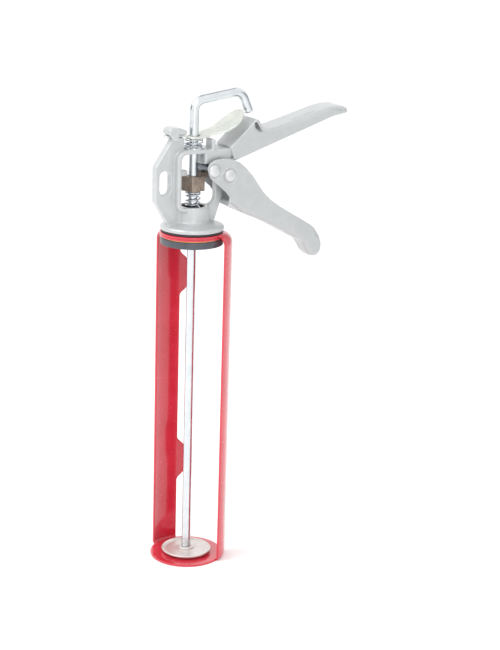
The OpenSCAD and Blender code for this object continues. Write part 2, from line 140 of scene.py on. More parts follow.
def joined(a, b, fillet):
    """Distance from two shapes together, with a fillet where they meet."""
    h = np.maximum(fillet - np.abs(a - b), 0) / fillet
    return np.minimum(a, b) - h * h * fillet / 4


def without(a, b, edge):
    """Distance from the first shape with the second cut out of it, the cut's edge eased."""
    return -joined(-a, b, edge)


def slab(flat, y, half, edge):
    """Distance from an outline carried across the tool to both sides, its edges rounded."""
    return both(flat, np.abs(y) - half, edge)


def brick(x, y, z, low, high, edge):
    """Distance from a box with rounded edges: the length of what is left of the offsets past its core."""
    q = [np.abs(c - (a + b) / 2) - (b - a) / 2 + edge for c, a, b in zip((x, y, z), low, high)]
    outer = np.sqrt(sum(np.maximum(c, 0) ** 2 for c in q))
    return outer + np.minimum(np.maximum(np.maximum(q[0], q[1]), q[2]), 0) - edge


def capsule(x, z, a, b, r):
    """Distance from a round-ended slot between two points."""
    ex, ez = b[0] - a[0], b[1] - a[1]
    t = np.clip(((x - a[0]) * ex + (z - a[1]) * ez) / (ex * ex + ez * ez), 0, 1)
    return np.hypot(x - a[0] - ex * t, z - a[1] - ez * t) - r


def ease(x, a, b):
    """Smooth step from 0 at a to 1 at b."""
    t = np.clip((x - a) / (b - a), 0, 1)
    return t * t * (3 - 2 * t)


def skin(field, low, high, step):
    """Surface where a distance is zero. The distance is worked out on a grid. Each cell that the surface
    passes through gets one point, the mean of the places where the surface crosses the cell's edges, and
    each crossed edge gets one face between the four cells round it, turned to face outwards. Each point
    then slides twice along the distance's slope to where the distance is zero, by no more than three
    tenths of a cell."""
    axes = [np.arange(a - 2 * step, b + 3 * step, step) for a, b in zip(low, high)]
    x, y, z = np.meshgrid(*axes, indexing="ij", sparse=True)
    f = np.broadcast_to(field(x, y, z), [len(a) for a in axes]).astype(np.float32)
    shape = np.array(f.shape)
    stride = np.array([shape[1] * shape[2], shape[2], 1])
    cell, place, faces = [], [], []
    for axis in range(3):
        a = np.take(f, range(shape[axis] - 1), axis)
        b = np.take(f, range(1, shape[axis]), axis)
        at = np.argwhere((a < 0) != (b < 0))
        fa, fb = a[tuple(at.T)].astype(float), b[tuple(at.T)].astype(float)
        spot = at.astype(float)
        spot[:, axis] += fa / (fa - fb)
        side, up = np.eye(3, dtype=int)[(axis + 1) % 3], np.eye(3, dtype=int)[(axis + 2) % 3]
        ring = np.stack([at - side - up, at - up, at, at - side], 1) @ stride
        cell.append(ring.ravel())
        place.append(np.repeat(spot, 4, 0))
        faces.append(np.where((fa < 0)[:, None], ring, ring[:, ::-1]))
    used, index = np.unique(np.concatenate(cell), return_inverse=True)
    place, count = np.concatenate(place), np.bincount(index)
    points = np.stack([np.bincount(index, place[:, k]) / count for k in range(3)], 1)
    points = points * step + [a[0] for a in axes]
    for _ in range(2):
        rest = field(*points.T)
        slope = np.stack([field(*(points + nudge).T) - rest for nudge in 0.02 * np.eye(3)], 1) / 0.02
        move = (rest / np.maximum((slope ** 2).sum(1), 0.25))[:, None] * slope
        points = points - np.clip(move, -0.3 * step, 0.3 * step)
    return points, np.searchsorted(used, np.concatenate(faces))


# ---- swept and turned shapes ----
def grid_faces(rows, columns, loop_rows=False, loop_columns=True):
    """Four-sided faces of a grid of points, closed round on itself where asked."""
    i = np.arange(rows if loop_rows else rows - 1)[:, None]
    j = np.arange(columns if loop_columns else columns - 1)[None, :]
    a, b = i * columns + j, i * columns + (j + 1) % columns
    c, d = (i + 1) % rows * columns + (j + 1) % columns, (i + 1) % rows * columns + j
    return np.stack([a, b, c, d], -1).reshape(-1, 4)


def turned(profile, turns=128):
    """Closed profile of radius and height turned about the rod: each of its points becomes a ring."""
    p = np.asarray(profile, float)
    a = np.linspace(0, 2 * math.pi, turns, endpoint=False)[:, None]
    points = np.stack([p[:, 0] * np.cos(a), p[:, 0] * np.sin(a), p[:, 1] + 0 * a], -1).reshape(-1, 3)
    faces = grid_faces(turns, len(p), loop_rows=True)
    return points, faces[:, ::-1]


def tube(path, radius, sides=24):
    """Round bar along a path: a ring of points round each place on it, square to its run, with the first
    direction carried along without twist about Y or the rod; its ends close in two smaller rings."""
    p = np.asarray(path, float)
    run = np.gradient(p, axis=0)
    run /= np.linalg.norm(run, axis=1)[:, None]
    p = np.vstack([p[:1], p, p[-1:]])
    p = np.vstack([p[:1], p, p[-1:]])
    run = np.vstack([run[:1], run[:1], run, run[-1:], run[-1:]])
    r = np.full(len(p), float(radius))
    r[[0, -1]], r[[1, -2]] = 0.02, radius * 0.88
    p[2] += run[2] * radius * 0.12
    p[-3] -= run[-3] * radius * 0.12
    level = np.abs(run[:, 1]).max() < 0.05
    guide = np.array([0, 1.0, 0]) if level else np.array([0, 0, 1.0])
    across = np.cross(run, guide)
    across /= np.linalg.norm(across, axis=1)[:, None]
    out = np.cross(across, run)
    a = np.linspace(0, 2 * math.pi, sides, endpoint=False)[None, :, None]
    points = p[:, None] + r[:, None, None] * (across[:, None] * np.cos(a) + out[:, None] * np.sin(a))
    faces = grid_faces(len(p), sides)
    caps = [np.arange(sides), np.arange(sides)[::-1] + (len(p) - 1) * sides]
    return points.reshape(-1, 3), faces, caps


# ---- pieces ----
def piece(name, shape, body, material, stands_for=(), sharp=40):
    """Mesh object from points and faces, written in metres, shaded smooth but for edges sharper than an
    angle."""
    points, faces = np.asarray(shape[0]) * 0.001, shape[1]
    caps = shape[2] if len(shape) > 2 else []
    mesh = bpy.data.meshes.new(name)
    if len(caps):
        mesh.from_pydata(points.tolist(), [], faces.tolist() + [c.tolist() for c in caps])
    else:
        mesh.vertices.add(len(points))
        mesh.vertices.foreach_set("co", points.astype(np.float32).ravel())
        mesh.loops.add(faces.size)
        mesh.loops.foreach_set("vertex_index", faces.astype(np.int32).ravel())
        mesh.polygons.add(len(faces))
        mesh.polygons.foreach_set("loop_start", np.arange(0, faces.size, 4, dtype=np.int32))
        mesh.update(calc_edges=True)
    mesh.validate()
    mesh.polygons.foreach_set("use_smooth", np.ones(len(mesh.polygons), bool))
    mesh.set_sharp_from_angle(angle=math.radians(sharp))
    made = bpy.data.objects.new(name, mesh)
    bpy.context.scene.collection.objects.link(made)
    mesh.materials.append(material)
    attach(made, body)
    if stands_for:
        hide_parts(*stands_for)
    return made


def dress(node, material):
    """Gives a frame node its finish."""
    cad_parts[node].material_slots[0].material = material


# ---- finishes ----
def finish(name, colour, metallic, roughness, grain=None, tint=None, patch=None, bump=None, brushed=None,
           coat=0.0, coat_rough=0.1, edge_highlight=None):
    """Finish on object coordinates: a base colour that drifts to a tint over patches of the given size
    and along sharp edges to a lighter colour that is a painted highlight, a roughness that varies over
    a finer grain, and a bump of fine grain or of lines drawn along one direction."""
    made = bpy.data.materials.new(name)
    made.use_nodes = True
    tree = made.node_tree
    nodes, link = tree.nodes, tree.links.new
    shader = nodes["Principled BSDF"]
    shader.inputs["Base Color"].default_value = (*colour, 1)
    shader.inputs["Metallic"].default_value = metallic
    shader.inputs["Roughness"].default_value = roughness
    shader.inputs["Coat Weight"].default_value = coat
    shader.inputs["Coat Roughness"].default_value = coat_rough
    place = nodes.new("ShaderNodeTexCoord").outputs["Object"]

    def noise(size, detail=3.0, stretch=None, rough=0.5):
        """Noise whose marks are about the given size in millimetres, drawn out along an axis if asked."""
        at = place
        if stretch:
            mapping = nodes.new("ShaderNodeMapping")
            mapping.inputs["Scale"].default_value = stretch
            link(place, mapping.inputs["Vector"])
            at = mapping.outputs["Vector"]
        made_noise = nodes.new("ShaderNodeTexNoise")
        made_noise.inputs["Scale"].default_value = 1000 / size
        made_noise.inputs["Detail"].default_value = detail
        made_noise.inputs["Roughness"].default_value = rough
        link(at, made_noise.inputs["Vector"])
        return made_noise.outputs["Fac"]

    def spread(value, low, high, start=0.3, end=0.7):
        """Maps a noise's middle range to low and high."""
        ranged = nodes.new("ShaderNodeMapRange")
        for socket, number in zip(("From Min", "From Max", "To Min", "To Max"), (start, end, low, high)):
            ranged.inputs[socket].default_value = number
        link(value, ranged.inputs["Value"])
        return ranged.outputs["Result"]

    if tint:
        mix = nodes.new("ShaderNodeMix")
        mix.data_type = "RGBA"
        mix.inputs["A"].default_value = (*colour, 1)
        mix.inputs["B"].default_value = (*tint, 1)
        link(spread(noise(patch or 9, 5.0, rough=0.6), 0, 1, 0.38, 0.66), mix.inputs["Factor"])
        link(mix.outputs["Result"], shader.inputs["Base Color"])
    # Painted highlight: sharp edges, picked out by pointiness, are lightened towards the given edge colour.
    if edge_highlight:
        edge = nodes.new("ShaderNodeMix")
        edge.data_type = "RGBA"
        edge.inputs["B"].default_value = (*edge_highlight, 1)
        link(mix.outputs["Result"], edge.inputs["A"])
        edge_sharpness = nodes.new("ShaderNodeNewGeometry").outputs["Pointiness"]
        link(spread(edge_sharpness, 0, 0.85, 0.53, 0.62), edge.inputs["Factor"])
        link(edge.outputs["Result"], shader.inputs["Base Color"])
    if grain:
        size, low, high = grain
        link(spread(noise(size, 4.0), low, high), shader.inputs["Roughness"])
    if bump or brushed:
        lift = nodes.new("ShaderNodeBump")
        if brushed:
            size, stretch, strength, depth = brushed
            link(noise(size, 4.0, stretch), lift.inputs["Height"])
        else:
            size, strength, depth = bump
            link(noise(size, 3.0), lift.inputs["Height"])
        lift.inputs["Strength"].default_value = strength
        lift.inputs["Distance"].default_value = depth * 0.001
        link(lift.outputs["Normal"], shader.inputs["Normal"])
    return made


ALONG_ROD = (1.0, 1.0, 0.02)
# The edge colours given to these finishes are painted highlights, lighter than the base, along sharp edges.
red_enamel = finish("red enamel", (0.54, 0.012, 0.03), 0.0, 0.24, grain=(2.5, 0.2, 0.28), tint=(0.62, 0.022,
                                                                                                0.05),
                    patch=30, bump=(2.4, 0.05, 0.03), coat=0.8, coat_rough=0.07,
                    edge_highlight=(0.70, 0.05, 0.08))
silver_enamel = finish("silver enamel", (0.46, 0.475, 0.48), 0.3, 0.4, grain=(0.6, 0.34, 0.46),
                       tint=(0.49, 0.505, 0.515), patch=5, bump=(0.4, 0.10, 0.03), coat=0.3, coat_rough=0.16,
                       edge_highlight=(0.57, 0.58, 0.59))
cast_enamel = finish("cast enamel", (0.49, 0.505, 0.51), 0.3, 0.36, grain=(0.8, 0.3, 0.44),
                     tint=(0.525, 0.54, 0.55), patch=6, bump=(0.6, 0.14, 0.04), coat=0.4, coat_rough=0.12,
                     edge_highlight=(0.80, 0.82, 0.83))
slate_enamel = finish("slate enamel", (0.058, 0.062, 0.078), 0.2, 0.4, grain=(1.0, 0.32, 0.52),
                      tint=(0.082, 0.09, 0.106), patch=6, bump=(0.6, 0.2, 0.05), coat=0.2, coat_rough=0.2)
black_washer = finish("black washer", (0.02, 0.021, 0.024), 0.0, 0.5, grain=(1.2, 0.4, 0.62),
                      tint=(0.035, 0.036, 0.04), patch=4, bump=(0.8, 0.2, 0.05))
brass_sheet = finish("brass sheet", (0.62, 0.40, 0.10), 0.6, 0.34, grain=(1.0, 0.26, 0.44), tint=(0.70,
                                                                                                  0.50,
                                                                                                  0.18),
                     patch=6, bump=(0.8, 0.15, 0.03))
plated_rod = finish("plated rod", (0.62, 0.655, 0.685), 0.95, 0.2, grain=(1.4, 0.13, 0.27), tint=(0.70,
                                                                                                  0.73,
                                                                                                  0.75),
                    patch=8, brushed=(0.35, ALONG_ROD, 0.22, 0.03))
plated_bend = finish("plated bend", (0.62, 0.67, 0.70), 0.95, 0.2, grain=(1.2, 0.13, 0.28), tint=(0.72,
                                                                                                  0.74,
                                                                                                  0.76),
                     patch=6, bump=(0.9, 0.12, 0.03))
pale_plate = finish("pale zinc plate", (0.58, 0.61, 0.575), 0.6, 0.34, grain=(1.3, 0.26, 0.44),
                    tint=(0.70, 0.705, 0.65), patch=7, bump=(1.5, 0.07, 0.03), edge_highlight=(0.86, 0.87, 0.84))
warm_plate = finish("warm plate", (0.66, 0.64, 0.615), 0.6, 0.36, grain=(1.0, 0.28, 0.46), tint=(0.75,
                                                                                                 0.725,
                                                                                                 0.69),
                    patch=6, bump=(0.7, 0.16, 0.04))
spring_wire = finish("spring wire", (0.52, 0.55, 0.60), 0.95, 0.24, grain=(0.8, 0.16, 0.34), tint=(0.62,
                                                                                                   0.64,
                                                                                                   0.68),
                     patch=3, bump=(0.5, 0.15, 0.02))
sintered = finish("sintered steel", (0.25, 0.19, 0.15), 0.5, 0.42, grain=(0.5, 0.32, 0.56),
                  tint=(0.38, 0.31, 0.255), patch=3, bump=(0.28, 0.4, 0.06))
rivet_steel = finish("rivet steel", (0.56, 0.57, 0.575), 0.5, 0.34, grain=(0.7, 0.26, 0.44),
                     tint=(0.64, 0.65, 0.655), patch=3, bump=(0.5, 0.15, 0.03))
dark_steel = finish("dark steel", (0.16, 0.18, 0.21), 0.8, 0.34, grain=(0.8, 0.26, 0.44), tint=(0.22, 0.24,
                                                                                                0.27),
                    patch=4, bump=(0.5, 0.2, 0.03))


# ---- cradle ----
def sheet_distance(line, r, z):
    """Distance from an open line in the section, which a sheet's middle follows."""
    near = np.inf
    for (ar, az), (br, bz) in zip(line[:-1], line[1:]):
        er, ez = br - ar, bz - az
        t = np.clip(((r - ar) * er + (z - az) * ez) / (er * er + ez * ez), 0, 1)
        near = np.minimum(near, np.hypot(r - ar - er * t, z - az - ez * t))
    return near


def arc(centre, radius, start, end, steps=10):
    """Points of an arc about a centre between two angles in degrees."""
    a = np.radians(np.linspace(start, end, steps))
    return np.stack([centre[0] + radius * np.cos(a), centre[1] + radius * np.sin(a)], 1)


def rail(side, ring_low):
    """One rail: a sheet whose section runs from the foot up the wall and over the shoulder to the ring,
    kept where the angle about the rod is between its open edge and its back edge with the tabs, and
    joined to its ring."""
    half = SHEET / 2
    section = np.vstack([[[23.6, half]], arc((24.5, 3.0), 2.25, -90, 0),
                         arc((20.5, ring_low + SHEET - 7), 6.25, 0, 90), [[18.5, ring_low + half]]])
    back, front = math.radians(48.5), math.radians(92.8)
    inner = 26.75
    reach = 5.0
    edge = [[-60, -20], [0, -20]]
    for at in (0.267 * RING_LOW, 0.859 * RING_LOW):
        edge += [[0, at - 15], [reach, at - 10.5], [reach, at + 10.5], [0, at + 15]]
    outline = rounded(edge + [[0, ring_low + 20], [-60, ring_low + 20]], 4.0)

    def field(x, y, z):
        r = np.hypot(x, y)
        turn = np.arctan2(y, x) - CRADLE_TURN
        turn = (turn + math.pi) % (2 * math.pi) - math.pi
        along = side * turn
        behind = (back - along) * inner
        ahead = (along - front) * r
        wall = both(sheet_distance(section, r, z) - half, past(outline, behind, z), 0.35)
        wall = both(wall, ahead, 0.35)
        ring = both(both(r - 22.0, 12.05 - r, 0.3), np.abs(z - ring_low - half) - half, 0.35)
        return joined(wall, ring, 0.4)

    angles = np.radians(np.linspace(48.5 - 11, 92.8, 30)) * side + CRADLE_TURN
    xs, ys = RAIL_OUT * np.cos(angles), RAIL_OUT * np.sin(angles)
    low = [min(xs.min(), -22.2), min(ys.min(), -22.2), 0]
    high = [max(xs.max(), 22.2), max(ys.max(), 22.2), ring_low + SHEET]
    return skin(field, low, high, 0.5)


def front_plate():
    """Round plate with the nozzle hole, cut back where the rails' feet take over."""
    def field(x, y, z):
        r = np.hypot(x, y)
        turn = (np.arctan2(y, x) - CRADLE_TURN + math.pi) % (2 * math.pi) - math.pi
        flank = np.maximum(np.abs(np.abs(turn) - math.radians(70.65)) - math.radians(22.15), -1) * r
        disc = both(both(r - 25.3, 14.0 - r, 0.3), np.abs(z - SHEET / 2) - SHEET / 2, 0.3)
        return np.maximum(disc, -np.maximum(flank, 23.9 - r))
    return skin(field, [-25.3, -25.3, 0], [25.3, 25.3, SHEET], 0.3)


piece("front_plate", front_plate(), "cradle", red_enamel, ["cradle_front"])
piece("left_rail", rail(1, RING_LOW), "cradle", red_enamel, ["rail_left"])
piece("right_rail", rail(-1, RING_LOW + SHEET), "cradle", red_enamel, ["rail_right"])

# ---- discs and washers ----
def flat_ring(node, bore, edges, rim=None):
    """Turned ring as thick as a frame node, from its bore out to its rim, with a rounded section."""
    low, high = span(node)
    rim = rim or high[0]
    return turned(rounded([[bore, low[2]], [rim, low[2]], [rim, high[2]], [bore, high[2]]], edges))


piece("retainer", flat_ring("retaining_disc", 3.9, [0.3, 0.9, 0.5, 0.3], 21.3),
      "body", slate_enamel, ["retaining_disc"])
piece("thin_washer", flat_ring("brass_washer", RING_BORE, 0.15),
      "body", brass_sheet, ["brass_washer"])
piece("thick_washer", flat_ring("friction_washer", RING_BORE, 0.45),
      "body", black_washer, ["friction_washer"])


# ---- cast body ----
def body_casting():
    """The casting: a turned flange and hub, a wing and an upright across the rod, a deep rib round the
    window, the top bar and the neck, the tab over the lever's tail and the two stops, joined with
    fillets, and then the slot and the bores cut out."""
    low = FLANGE
    window = rounded([[-12.4, HUB_TOP], [15.7, HUB_TOP], [15.7, NOTCH], [4.5, NOTCH], [4.5, WINDOW_TOP],
                      [-12.4, WINDOW_TOP]], [3.5, 6.5, 0.5, 0.8, 1.0, 5.2], 10)
    wing = rounded([[-16.4, TAIL_SLOT], [-28.8, low + 43.2], [-28.8, low + 19.9], [-17.6, low + 1.2],
                    [0, low + 1.2], [0, BAR_TOP], [-8.3, BAR_TOP], [-8.3, TAIL_SLOT]], 1.2)
    upright = rounded([[0, low + 1], [13.4, low + 1.2], [15.4, low + 4.6], [20.4, low + 19.6],
                       [20.6, PIVOT[1] - 6], [28.6, PIVOT[1] + 2], [29.6, BAR_TOP - 4], [25, BAR_TOP - 2],
                       [0, BAR_TOP - 1]], 1.5)
    neck = rounded([[4.5, BAR_TOP], [26, BAR_TOP], [28.4, BAR_TOP - 2.2], [28.4, BAR_TOP - 5.4],
                    [20, NOTCH + 1], [4.5, NOTCH + 0.5]], [0.1, 2, 2, 2, 3, 1.0])
    arm = rounded([[22.9, BAR_TOP - 0.3], [24.3, BAR_TOP - 5.6], [30, BAR_TOP - 4.6], [39.6, BAR_TOP + 2.2],
                   [39.6, BAR_TOP + 14.7]], 0.8)
    tab_low = TAIL_SLOT + 2.1
    tab = rounded([[-20.6, tab_low], [-20.2, TAB_TOP - 1.2], [-17.8, TAB_TOP], [-12.6, TAB_TOP - 0.2],
                   [-7.8, tab_low + 3], [-7.2, tab_low + 0.6], [-8.4, tab_low]], [0.8, 1.6, 1.6, 2.5, 1.2,
                                                                                  0.6, 0.6])
    cheek = np.array([[-20, tab_low + 1], [-16.6, TAIL_SLOT - 1.5], [-13.4, TAIL_SLOT - 1.5], [-13.4,
                                                                                               tab_low + 1]])
    stop = rounded([[-14, BLOCK_TOP - 1.4], [-5.2, BLOCK_TOP - 1.4], [-5.2, BLOCK_TOP + 2.6],
                    [-14, BLOCK_TOP + 2.6]], 1.2)
    hub = rounded([[0, low], [21.4, low], [21.7, low + 0.4], [21.7, low + 1.9], [20.9, low + 2.9],
                   [18.4, low + 3.5], [13.5, low + 4.4], [11.6, low + 5.3], [11.1, low + 7.0],
                   [11.1, HUB_TOP - 0.5], [10.6, HUB_TOP], [0, HUB_TOP]],
                  [0, 0.3, 0.5, 0.8, 2, 2, 1.5, 1.5, 3, 0.4, 0.4, 0])

    def field(x, y, z):
        r = np.hypot(x, y)
        hole = past(window, x, z)
        side = slab(np.maximum(past(wing, x, z), -hole), y, 3.0, 0.5)
        post = slab(np.maximum(past(upright, x, z), -hole), y, 2.4, 0.5)
        reach = np.minimum(x + 7.5, np.maximum(WINDOW_TOP - z, x - 5))
        rim = slab(both(np.maximum(hole - 2.8, -hole), reach, 0.3), y, RIB_HALF, 0.7)
        bar = slab(np.maximum(past(neck, x, z), -hole), y, RIB_HALF, 1.2)
        inner_arm = slab(past(arm, x, z), y, 9.45, 0.4)
        shape = joined(joined(side, rim, 0.8), post, 0.8)
        shape = joined(joined(shape, bar, 0.6), inner_arm, 1.4)
        shape = joined(shape, brick(x, y, z, (9.6, -RIB_HALF, BAR_TOP - 1), (12.2, 1.2, BAR_TOP + 6.4),
                                    0.45), 0.8)
        shape = joined(shape, slab(past(stop, x, z), y, 2.5, 0.7), 0.8)
        shape = joined(shape, slab(past(tab, x, z), y, 5.5, 1.1), 0.3)
        cheeks = both(past(cheek, x, z), np.abs(np.abs(y) - 3.95) - 1.45, 0.3)
        shape = joined(shape, cheeks, 0.5)
        shape = joined(shape, past(hub, r, z), 0.9)
        neck_ring = both(r - 11.95, np.abs(z - (low + RING_LOW) / 2) - (low - RING_LOW) / 2 - 0.4, 0.2)
        shape = np.minimum(shape, neck_ring)
        shape = without(shape, capsule(x, z, (-21.9, low + 36.6), (-21.9, low + 28.2), 3.95), 0.9)
        cup = both(r - 8.2, np.abs(z - HUB_TOP) - 7, 0.3)
        shape = without(shape, cup, 0.7)
        tail = slab(brick(x, 0, z, (-22, 0, TAIL_SLOT), (-6, 0, TAIL_SLOT + 2.1), 0.1), y, 2.5, 0.1)
        shape = np.maximum(shape, -tail)
        return np.maximum(shape, ROD_HOLE - r)

    return skin(field, [-28.9, -21.8, RING_LOW - 0.8], [39.7, 21.8, TAB_TOP], 0.45)


piece("casting", body_casting(), "body", cast_enamel, ["body_frame"])


# ---- handle ----
def handle_channel():
    """Pressed channel: the space under its web's line less the same space a sheet's thickness further in,
    cut off along its open edges, with the relief notches beside the step and at the curled tip."""
    hx, hz = HUMP
    web = rounded([[0, hz - 38.3], [hx, hz], [hx + 2.2, hz - 1.1], [47.2, hz - 8.4], [59.3, hz - 5.9],
                   [85.7, hz + 1.7], [94.7, hz + 4.5], [102, hz + 5.7], [109, hz + 5.8], [112.4, hz + 4.2],
                   [112.9, hz + 2.2], [112.9, 200], [0, 200]],
                  [0, 1.2, 1.2, 3, 12, 20, 14, 12, 7, 1.5, 0.5, 0, 0], 8)
    edges = rounded([[22.1, hz - 17.4], [hx, hz + 4], [130, hz + 20], [130, hz + 2], [111.6, hz + 1.2],
                     [101, hz - 0.8], [25.4, hz - 27.2]], [0.6, 0, 0, 0, 0.5, 3, 1.2])
    notch = rounded([[39.8, hz - 2.2], [41.8, hz - 2.2], [46.4, hz - 8.9], [43.2, hz - 8.7], [40.3,
                                                                                              hz - 5.8]],
                    0.4)
    lip = rounded([[96, hz + 4.1], [101.4, hz + 5.0], [106.4, hz + 4.1], [108.2, hz + 2.6], [101.4,
                                                                                             hz + 3.3]], 1.2)

    def field(x, y, z):
        under = past(web, x, z)
        bend = 1.1 + 1.5 * ease(x, 46, 54)
        outer = slab(under, y, HANDLE_HALF, bend)
        inner = slab(under + STEEL, y, HANDLE_HALF - STEEL, np.maximum(bend - STEEL, 0.3))
        shape = both(outer, -inner, 0.2)
        shape = both(shape, past(edges, x, z), 0.35)
        relief = np.maximum(past(notch, x, z), 9.2 - np.abs(y))
        recess = np.maximum(past(lip, x, z), 10.3 - np.abs(y))
        pad = both(brick(x, y, 0 * z, (71, -6.2, -1), (89, 6.2, 1), 0.9), np.abs(under + 0.1) - 0.5, 0.3)
        return joined(without(shape, np.minimum(relief, recess), 0.3), pad, 0.4)

    return skin(field, [21.8, -HANDLE_HALF, hz - 28], [113, HANDLE_HALF, hz + 6], 0.45)


piece("handle", handle_channel(), "body", silver_enamel, ["fixed_handle"])


# ---- trigger ----
def trigger_channel():
    """Pressed channel, open at its upper edge: the space over its lower line less the same space a
    sheet's thickness further in, cut off along its open edges, with shallow dimples round the rivets."""
    px, pz = PIVOT
    lower = [[-0.2, -18.2], [5.2, -22.5], [10.6, -26.6], [15, -28.6], [26.2, -33.2], [38.3, -39.2], [48.2,
                                                                                                     -44.9],
             [54, -48], [60.6, -51.4], [63, -55.2], [65.4, -59.8], [68.4, -62.6], [72, -63.6], [75.4, -62.4],
             [77.6, -59.2], [78, -55], [76.4, -49.4], [72.6, -43.8], [70, -39]]
    web = rounded([[-30, -60]] + [[-0.2, -60]] + lower + [[68, 30], [-30, 30]],
                  [0, 0, 2] + [5] * (len(lower) - 1) + [0, 0])
    edges = rounded([[-16.9, 5.2], [-15.5, 8.6], [-11.6, 10.9], [-5.3, 11.8], [-0.2, 11.2], [6.9, 8.5],
                     [12.2, 4.2], [17.1, -1.1], [20.9, -6.4], [25.6, -12.8], [31.5, -18.6], [38.9, -23.8],
                     [50, -30.4], [60, -36], [67, -40], [72.6, -43.8], [84, -44], [84, -68], [40, -68],
                     [-0.4, -30], [-0.4, -17.4], [0.3, -15.1], [-2.8, -11.3], [-8.6, -6.2], [-14.8, -1.0]],
                    [4] * 15 + [2, 0, 0, 0, 0, 0.8, 2, 5, 5, 4])
    web, edges = web + PIVOT, edges + PIVOT

    def field(x, y, z):
        over = past(web, x, z)
        bend = 2.4 + 1.8 * ease(x, px + 2, px + 14)
        half = TRIGGER_HALF - 5.6 * ease(x, px + 50, px + 72)
        outer = slab(over, y, half, bend)
        inner = slab(over + STEEL, y, half - STEEL, bend - STEEL)
        shape = both(both(outer, -inner, 0.2), past(edges, x, z), 0.35)
        for rx, rz in (PIVOT, DRIVE):
            ring = np.hypot(x - rx, z - rz)
            shape = without(shape, np.maximum(np.abs(ring - 4.5) - 0.35, 12.45 - np.abs(y)), 0.4)
        return shape

    return skin(field, [px - 17.2, -TRIGGER_HALF, pz - 63.8], [px + 78.2, TRIGGER_HALF, pz + 12], 0.47)


piece("trigger_channel", trigger_channel(), "trigger", silver_enamel, ["trigger"])


# ---- release lever ----
def release_plate():
    """Stamped plate: its middle follows a line seen from the side, raised on the far side by a slight
    roll, and its plan is a narrow tail, a collar round the rod and a broad thumb pad."""
    run = 22.0
    high = LEVER_LOW + run * math.tan(math.radians(13.4))
    line = bent([[-23, TAIL_SLOT + 1.0], [-8.2, TAIL_SLOT + 1.0], [-3.6, LEVER_LOW + 0.8], [2,
                                                                                            LEVER_LOW + 0.8],
                 [run - 1, high + 0.4], [28.6, high + 4.9], [35.2, high + 10.9], [37, high + 12.6]],
                [1, 3, 3, 5, 12, 12, 8, 1])
    edge = [[-21.6, 2.3], [-7, 2.3], [-5.4, 4.6], [-2.6, 5.9], [3, 6.3], [9, 6.4], [14, 7.4], [20, 9.4],
            [26, 10.8], [31, 9.6], [34.6, 6], [36, 0]]
    plan = np.array(edge + [[x, -y] for x, y in edge[-2::-1]])[::-1]
    plan = rounded(plan, [1.0, 2] + [5] * 19 + [2, 1.0])
    thick = 1.5

    def field(x, y, z):
        rise = np.interp(x, line[:, 0], line[:, 1])
        slope = (np.interp(x + 0.2, line[:, 0], line[:, 1]) - np.interp(x - 0.2, line[:, 0], line[:,
                                                                                                  1])) / 0.4
        roll = 0.06 * y * ease(x, -2, 8) + 0.004 * y * y * ease(x, 14, 24)
        off = (z - rise - roll) / np.sqrt(1 + slope * slope)
        flat = past(plan, x, y)
        shape = both(flat, np.abs(off) - thick / 2, 0.5)
        hole = np.hypot(np.maximum(np.abs(x) - 0.5, 0), y) - 3.7
        return without(shape, hole, 0.4)

    return skin(field, [-21.8, -11, TAIL_SLOT - 0.6], [36.2, 11, high + 14], 0.36)


piece("thumb_plate", release_plate(), "lever", pale_plate, ["release_lever"])


# ---- rod, hook and disc ----
def hooked_rod():
    """Round bar from the disc up to two bends and the short end leg of the hook."""
    low, high = span("push_rod")
    slope, leg = math.radians(9), math.radians(67)
    corner = LEVER_LOW + 24.5
    far = np.array([35.0, 0, corner + 35.0 * math.tan(slope)])
    end = far + 15.6 * np.array([math.cos(leg), 0, -math.sin(leg)])
    start = np.array([0, 0, low[2] + 0.4])

    def bend(a, p, b, radius):
        """Arc of the given radius between two straight runs: points on a circle that touches both."""
        u, v = (a - p) / np.linalg.norm(a - p), (b - p) / np.linalg.norm(b - p)
        half = math.acos(u @ v) / 2
        centre = p + (u + v) / np.linalg.norm(u + v) * radius / math.sin(half)
        first, last = p + u * radius / math.tan(half) - centre, p + v * radius / math.tan(half) - centre
        t = np.linspace(0, 1, 24)[:, None]
        total = math.pi - 2 * half
        return centre + (np.sin((1 - t) * total) * first + np.sin(t * total) * last) / math.sin(total)

    corner_point = np.array([0, 0, corner])
    path = np.vstack([np.linspace(start, [0, 0, corner - 9], 40), bend(start, corner_point, far, 7.5),
                      bend(corner_point, far, end, 7.5), np.linspace(far + (end - far) * 0.62, end, 6)])
    return tube(path, 3.15, 40)


piece("hooked_rod", hooked_rod(), "rod", plated_rod, ["push_rod"], sharp=50)
disc = span("push_disc")
disc_low, disc_r = disc[0][2], disc[1][0]
piece("dished_disc", turned(rounded([[ROD_BORE, disc_low + 0.8], [6.4, disc_low + 0.8], [7.9, disc_low],
                                     [disc_r - 2.4, disc_low], [disc_r - 0.8, disc_low + 0.9],
                                     [disc_r, disc_low + 2.2], [disc_r - 0.5, disc_low + 2.6],
                                     [disc_r - 1.5, disc_low + 2.0], [disc_r - 3, disc_low + 1.5],
                                     [7.9, disc_low + 1.5], [6.4, disc_low + 2.3], [ROD_BORE,
                                                                                    disc_low + 2.3]],
                                    [0.1, 1, 1, 1.5, 1, 0.4, 0.3, 1, 1.5, 1, 1, 0.1])),
      "rod", warm_plate, ["push_disc"])
boss = span("disc_boss")
piece("disc_collar", turned(rounded([[ROD_BORE, boss[0][2]], [5.6, boss[0][2]], [5.6, boss[1][2] - 0.1],
                                     [ROD_BORE, boss[1][2]]], [0.05, 0.2, 0.6, 0.2])),
      "rod", warm_plate, ["disc_boss"])
dress("disc_rivet", plated_bend)


